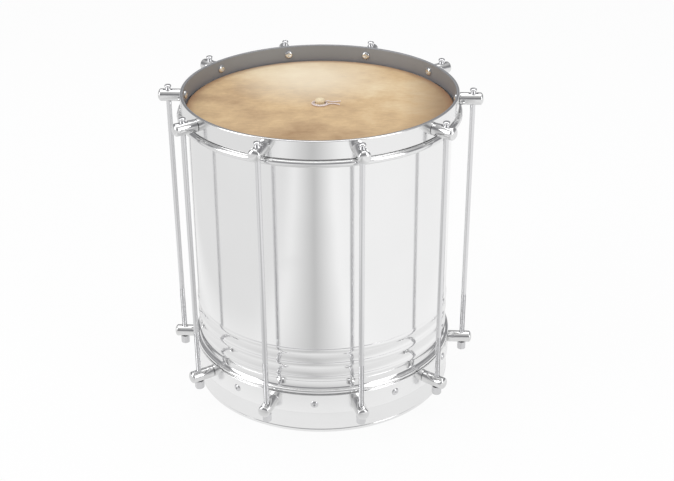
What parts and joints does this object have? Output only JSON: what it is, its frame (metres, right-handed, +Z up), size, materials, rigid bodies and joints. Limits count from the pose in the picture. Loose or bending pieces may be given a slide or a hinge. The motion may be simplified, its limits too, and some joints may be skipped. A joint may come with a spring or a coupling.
{
  "type": "cuica",
  "caption": "Brazilian friction drum: cylindrical sheet metal shell with a tensioned skin and a thin cane stick tied to its middle, tuned by rods, lugs and nuts.",
  "frame": {"origin": "middle of the plane that the drum stands on, on the axis of the shell", "axes": "+Z up along the axis of the shell, from the open foot to the skin; +X through the first lug"},
  "size_m": [0.3116, 0.2972, 0.3076],
  "materials": {
    "polished_shell": "polished",
    "hoop_chrome": "polished",
    "flesh_hoop_metal": "polished",
    "goat_skin": "natural, matt",
    "waxed_thread": "waxed",
    "cane": "natural, satin",
    "lug_chrome": "polished",
    "rod_chrome": "polished",
    "zinc_hardware": "zinc plated"
  },
  "bodies": {
    "drum": {"shell": "polished_shell", "lower_band": "polished_shell", "skin": "goat_skin", "lower_lug_01": "lug_chrome", "lower_lug_02": "lug_chrome", "lower_lug_03": "lug_chrome", "lower_lug_04": "lug_chrome", "lower_lug_05": "lug_chrome", "lower_lug_06": "lug_chrome", "lower_lug_07": "lug_chrome", "lower_lug_08": "lug_chrome", "lower_lug_09": "lug_chrome", "lower_lug_10": "lug_chrome", "band_rivet_01": "zinc_hardware", "band_rivet_02": "zinc_hardware", "band_rivet_03": "zinc_hardware", "band_rivet_04": "zinc_hardware", "band_rivet_05": "zinc_hardware", "band_rivet_06": "zinc_hardware", "band_rivet_07": "zinc_hardware", "band_rivet_08": "zinc_hardware", "band_rivet_09": "zinc_hardware", "band_rivet_10": "zinc_hardware"},
    "tension_head": {"counter_hoop": "hoop_chrome", "flesh_hoop": "flesh_hoop_metal", "upper_lug_01": "lug_chrome", "upper_lug_02": "lug_chrome", "upper_lug_03": "lug_chrome", "upper_lug_04": "lug_chrome", "upper_lug_05": "lug_chrome", "upper_lug_06": "lug_chrome", "upper_lug_07": "lug_chrome", "upper_lug_08": "lug_chrome", "upper_lug_09": "lug_chrome", "upper_lug_10": "lug_chrome", "tension_rod_01": "rod_chrome", "tension_rod_02": "rod_chrome", "tension_rod_03": "rod_chrome", "tension_rod_04": "rod_chrome", "tension_rod_05": "rod_chrome", "tension_rod_06": "rod_chrome", "tension_rod_07": "rod_chrome", "tension_rod_08": "rod_chrome", "tension_rod_09": "rod_chrome", "tension_rod_10": "rod_chrome"},
    "tied_thread": {"tie_thread": "waxed_thread"},
    "stick": {"stick": "cane"},
    "nut_01": {"hex_nut_01": "zinc_hardware"},
    "nut_02": {"hex_nut_02": "zinc_hardware"},
    "nut_03": {"hex_nut_03": "zinc_hardware"},
    "nut_04": {"hex_nut_04": "zinc_hardware"},
    "nut_05": {"hex_nut_05": "zinc_hardware"},
    "nut_06": {"hex_nut_06": "zinc_hardware"},
    "nut_07": {"hex_nut_07": "zinc_hardware"},
    "nut_08": {"hex_nut_08": "zinc_hardware"},
    "nut_09": {"hex_nut_09": "zinc_hardware"},
    "nut_10": {"hex_nut_10": "zinc_hardware"}
  },
  "joints": [
    {"name": "head_draw", "type": "slide", "parent": "drum", "child": "tension_head", "axis": [0, 0, -1], "range_m": [-0.002, 0.003], "deforming": ["skin"]},
    {"name": "stick_lean_x", "type": "hinge", "parent": "drum", "child": "tied_thread", "pos_m": [0, 0, 0.2906], "axis": [1, 0, 0], "range_deg": [-6, 6], "deforming": ["skin"]},
    {"name": "stick_lean_y", "type": "hinge", "parent": "tied_thread", "child": "stick", "pos_m": [0, 0, 0.2906], "axis": [0, 1, 0], "range_deg": [-6, 6], "deforming": ["skin"]},
    {"name": "nut_01_turn", "type": "hinge", "parent": "drum", "child": "nut_01", "pos_m": [0.1458, 0, 0.0276], "axis": [0, 0, 1], "range_deg": [-901, 1351]},
    {"name": "nut_02_turn", "type": "hinge", "parent": "drum", "child": "nut_02", "pos_m": [0.11796, 0.0857, 0.0276], "axis": [0, 0, 1], "range_deg": [-901, 1351]},
    {"name": "nut_03_turn", "type": "hinge", "parent": "drum", "child": "nut_03", "pos_m": [0.04505, 0.13866, 0.0276], "axis": [0, 0, 1], "range_deg": [-901, 1351]},
    {"name": "nut_04_turn", "type": "hinge", "parent": "drum", "child": "nut_04", "pos_m": [-0.04505, 0.13866, 0.0276], "axis": [0, 0, 1], "range_deg": [-901, 1351]},
    {"name": "nut_05_turn", "type": "hinge", "parent": "drum", "child": "nut_05", "pos_m": [-0.11796, 0.0857, 0.0276], "axis": [0, 0, 1], "range_deg": [-901, 1351]},
    {"name": "nut_06_turn", "type": "hinge", "parent": "drum", "child": "nut_06", "pos_m": [-0.1458, 0, 0.0276], "axis": [0, 0, 1], "range_deg": [-901, 1351]},
    {"name": "nut_07_turn", "type": "hinge", "parent": "drum", "child": "nut_07", "pos_m": [-0.11796, -0.0857, 0.0276], "axis": [0, 0, 1], "range_deg": [-901, 1351]},
    {"name": "nut_08_turn", "type": "hinge", "parent": "drum", "child": "nut_08", "pos_m": [-0.04505, -0.13866, 0.0276], "axis": [0, 0, 1], "range_deg": [-901, 1351]},
    {"name": "nut_09_turn", "type": "hinge", "parent": "drum", "child": "nut_09", "pos_m": [0.04505, -0.13866, 0.0276], "axis": [0, 0, 1], "range_deg": [-901, 1351]},
    {"name": "nut_10_turn", "type": "hinge", "parent": "drum", "child": "nut_10", "pos_m": [0.11796, -0.0857, 0.0276], "axis": [0, 0, 1], "range_deg": [-901, 1351]}
  ],
  "couplings": [
    {"joint": "nut_01_turn", "follows": "head_draw", "rad_per_m": 7854},
    {"joint": "nut_02_turn", "follows": "head_draw", "rad_per_m": 7854},
    {"joint": "nut_03_turn", "follows": "head_draw", "rad_per_m": 7854},
    {"joint": "nut_04_turn", "follows": "head_draw", "rad_per_m": 7854},
    {"joint": "nut_05_turn", "follows": "head_draw", "rad_per_m": 7854},
    {"joint": "nut_06_turn", "follows": "head_draw", "rad_per_m": 7854},
    {"joint": "nut_07_turn", "follows": "head_draw", "rad_per_m": 7854},
    {"joint": "nut_08_turn", "follows": "head_draw", "rad_per_m": 7854},
    {"joint": "nut_09_turn", "follows": "head_draw", "rad_per_m": 7854},
    {"joint": "nut_10_turn", "follows": "head_draw", "rad_per_m": 7854}
  ]
}
